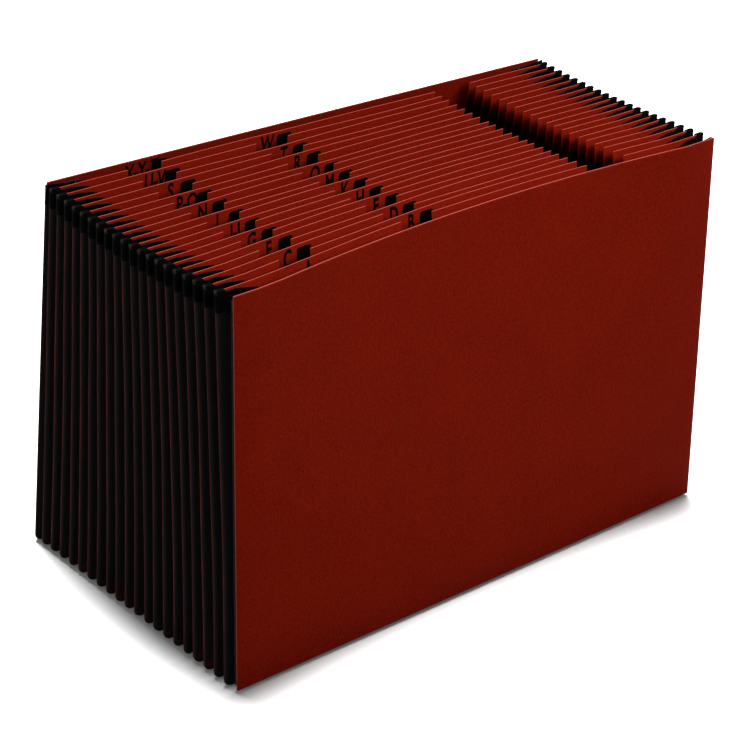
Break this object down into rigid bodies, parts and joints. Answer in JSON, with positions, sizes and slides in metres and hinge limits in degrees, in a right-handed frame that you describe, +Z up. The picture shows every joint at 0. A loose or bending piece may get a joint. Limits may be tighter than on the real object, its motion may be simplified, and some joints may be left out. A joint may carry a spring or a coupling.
{
  "type": "expanding file",
  "caption": "Open-top accordion file: two stiff fibre-card covers and lettered dividers held fanned open by a pleated gusset with cloth-bound upper edges.",
  "frame": {"origin": "under the middle of the box that the fanned file fills, on the surface it stands on", "axes": "+X along the width, +Y from the front cover to the back cover, +Z up"},
  "size_m": [0.3914, 0.2088, 0.2556],
  "materials": {
    "fibre_card": "red-brown fibre card with a leather-like grain",
    "divider_card": "matte red-brown fibre paper",
    "gusset_paper": "dark brown gusset paper",
    "black_cloth": "black woven binding tape"
  },
  "bodies": {
    "root": {"front_cover": "fibre_card", "divider_01": "divider_card", "divider_02": "divider_card", "divider_03": "divider_card", "divider_04": "divider_card", "divider_05": "divider_card", "divider_06": "divider_card", "divider_07": "divider_card", "divider_08": "divider_card", "divider_09": "divider_card", "divider_10": "divider_card", "divider_11": "divider_card", "divider_12": "divider_card", "divider_13": "divider_card", "divider_14": "divider_card", "divider_15": "divider_card", "divider_16": "divider_card", "divider_17": "divider_card", "divider_18": "divider_card", "divider_19": "divider_card", "divider_20": "divider_card", "back_cover": "fibre_card", "gusset": "gusset_paper", "gusset_tape_left": "black_cloth", "gusset_tape_right": "black_cloth"}
  },
  "joints": []
}
